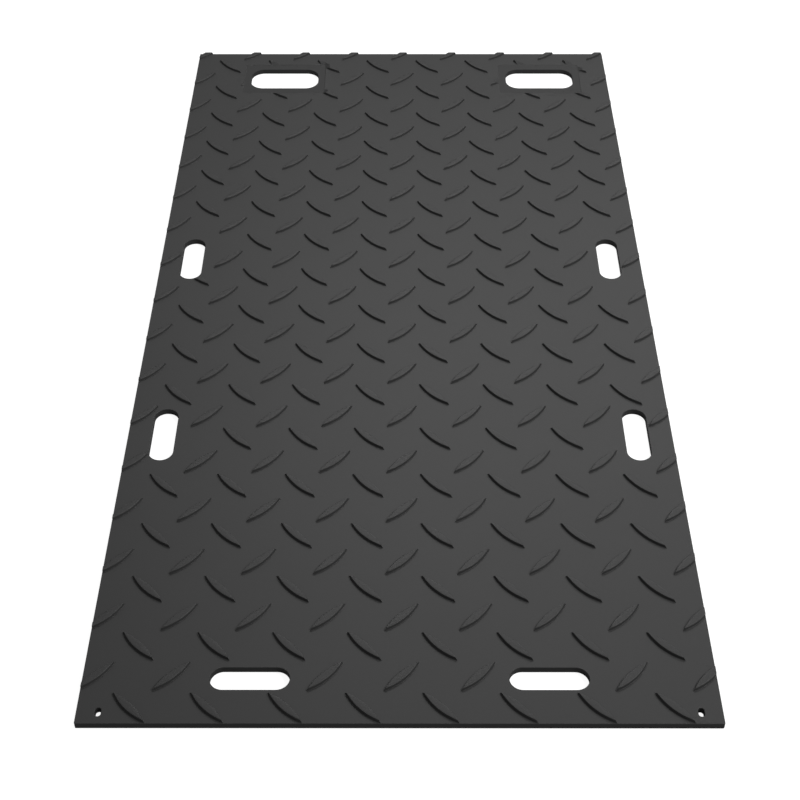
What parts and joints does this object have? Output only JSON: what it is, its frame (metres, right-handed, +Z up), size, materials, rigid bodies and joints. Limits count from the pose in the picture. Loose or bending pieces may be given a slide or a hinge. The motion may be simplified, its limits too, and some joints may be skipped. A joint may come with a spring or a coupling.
{
  "type": "ground protection mat",
  "caption": "Flat moulded ground protection mat with raised lens shaped tread lugs, obround handholds, large lifting slots and corner pin slots.",
  "frame": {"origin": "centre of the sheet, on its underside, where it lies on the ground", "axes": "+X across the width, +Y along the length from the front end with the two pin slots to the back end with the two lifting slots, +Z up out of the tread"},
  "size_m": [1.22, 2.44, 0.021],
  "materials": {
    "moulded_hdpe": "satin black moulded high density polyethylene"
  },
  "bodies": {
    "root": {"ground_mat": "moulded_hdpe"}
  },
  "joints": []
}
